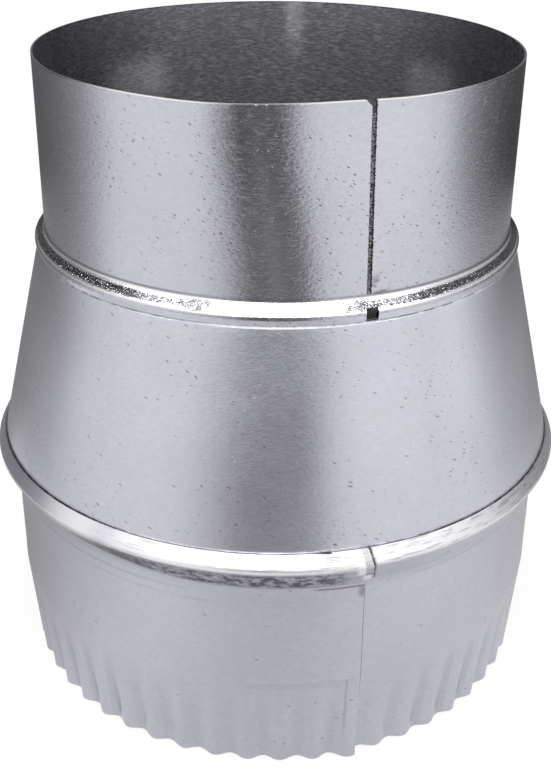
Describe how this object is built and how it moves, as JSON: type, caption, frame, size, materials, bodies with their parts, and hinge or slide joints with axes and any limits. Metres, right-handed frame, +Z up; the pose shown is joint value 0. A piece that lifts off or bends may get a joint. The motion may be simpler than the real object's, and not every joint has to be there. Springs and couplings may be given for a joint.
{
  "type": "duct adapter",
  "caption": "Galvanised sheet duct adapter: a plain round end, a taper held between rolled beads, and a larger crimped end that slips into the next pipe.",
  "frame": {"origin": "on the duct's axis, in the plane of the crimped rim that it stands on", "axes": "+Z up along the duct's axis, towards the plain end; -Y towards the side that carries the seams"},
  "size_m": [0.1636, 0.1641, 0.1765],
  "materials": {
    "galvanised_sheet": "satin galvanised sheet with a fine grain round the circumference"
  },
  "bodies": {
    "root": {"upper_collar": "galvanised_sheet", "taper": "galvanised_sheet", "crimped_collar": "galvanised_sheet"}
  },
  "joints": []
}
